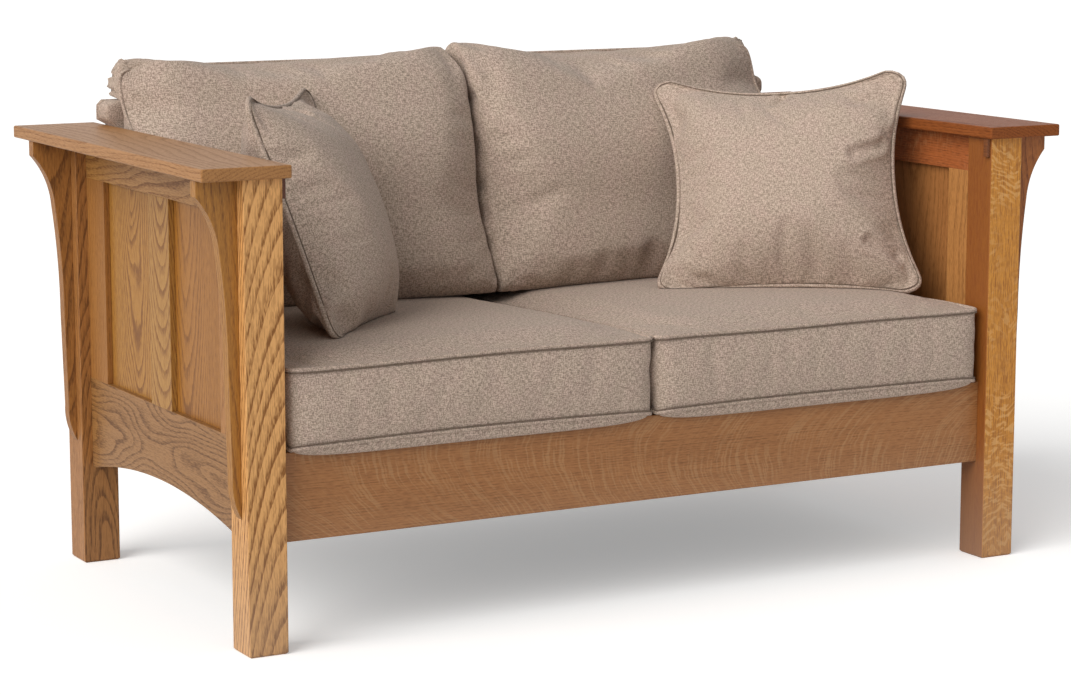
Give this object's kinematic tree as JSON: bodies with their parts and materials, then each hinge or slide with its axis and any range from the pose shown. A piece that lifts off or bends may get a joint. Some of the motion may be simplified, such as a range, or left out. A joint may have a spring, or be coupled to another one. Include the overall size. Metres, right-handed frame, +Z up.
{
  "type": "loveseat",
  "caption": "Two-seat oak loveseat with panelled sides, broad flat arms on corbels, loose seat and back cushions and throw pillows.",
  "frame": {"origin": "centre of the box around the whole loveseat, on the floor", "axes": "+X towards the right arm of someone who faces the loveseat, +Y from the front to the back, +Z up"},
  "size_m": [1.499, 0.79, 0.8233],
  "materials": {
    "oak": "satin",
    "dark_oak": "satin",
    "inner_hardwood": "matte",
    "linen": "matte",
    "deck_cloth": "matte",
    "dust_cloth": "matte",
    "jute_webbing": "matte",
    "steel": "satin"
  },
  "bodies": {
    "loveseat_frame": {"front_post_left": "oak", "front_post_right": "oak", "rear_post_left": "oak", "rear_post_right": "oak", "arm_left": "oak", "arm_right": "oak", "arm_cleat_left": "dark_oak", "arm_cleat_right": "dark_oak", "arm_dowels": "inner_hardwood", "front_corbel_left": "oak", "front_corbel_right": "oak", "rear_corbel_left": "oak", "rear_corbel_right": "oak", "side_top_rail_left": "oak", "side_top_rail_right": "oak", "side_bottom_rail_left": "oak", "side_bottom_rail_right": "oak", "side_front_stile_left": "oak", "side_front_stile_right": "oak", "side_muntin_left": "oak", "side_muntin_right": "oak", "side_rear_stile_left": "oak", "side_rear_stile_right": "oak", "side_front_panel_left": "oak", "side_front_panel_right": "oak", "side_rear_panel_left": "oak", "side_rear_panel_right": "oak", "front_rail": "oak", "rear_rail": "oak", "corner_blocks": "inner_hardwood", "corner_bolts": "steel", "deck_end_rail_left": "inner_hardwood", "deck_end_rail_right": "inner_hardwood", "spring_rail_front": "inner_hardwood", "spring_rail_rear": "inner_hardwood", "centre_stretcher": "inner_hardwood", "seat_springs": "steel", "spring_clips": "steel", "deck_screws": "steel", "deck_cloth": "deck_cloth", "dust_cover": "dust_cloth", "back_top_rail": "inner_hardwood", "back_bottom_rail": "inner_hardwood", "back_stile_left": "inner_hardwood", "back_stile_right": "inner_hardwood", "back_centre_stile": "inner_hardwood", "back_webbing": "jute_webbing", "inside_back_cover": "linen", "outside_back_cover": "linen", "back_bolts": "steel"},
    "seat_cushion_left": {"seat_cushion_left": "linen"},
    "seat_cushion_right": {"seat_cushion_right": "linen"},
    "back_cushion_left": {"back_cushion_left": "linen"},
    "back_cushion_right": {"back_cushion_right": "linen"},
    "throw_pillow_left": {"throw_pillow_left": "linen"},
    "throw_pillow_right": {"throw_pillow_right": "linen"}
  },
  "joints": [
    {"name": "seat_cushion_left_lift", "type": "slide", "parent": "loveseat_frame", "child": "seat_cushion_left", "axis": [0, 0, 1], "range_m": [0, 0.44]},
    {"name": "back_cushion_left_lift", "type": "slide", "parent": "seat_cushion_left", "child": "back_cushion_left", "axis": [0, 0, 1], "range_m": [0, 0.36]},
    {"name": "throw_pillow_left_lift", "type": "slide", "parent": "back_cushion_left", "child": "throw_pillow_left", "axis": [0, 0, 1], "range_m": [0, 0.3]},
    {"name": "seat_cushion_right_lift", "type": "slide", "parent": "loveseat_frame", "child": "seat_cushion_right", "axis": [0, 0, 1], "range_m": [0, 0.44]},
    {"name": "back_cushion_right_lift", "type": "slide", "parent": "seat_cushion_right", "child": "back_cushion_right", "axis": [0, 0, 1], "range_m": [0, 0.36]},
    {"name": "throw_pillow_right_lift", "type": "slide", "parent": "back_cushion_right", "child": "throw_pillow_right", "axis": [0, 0, 1], "range_m": [0, 0.3]}
  ]
}
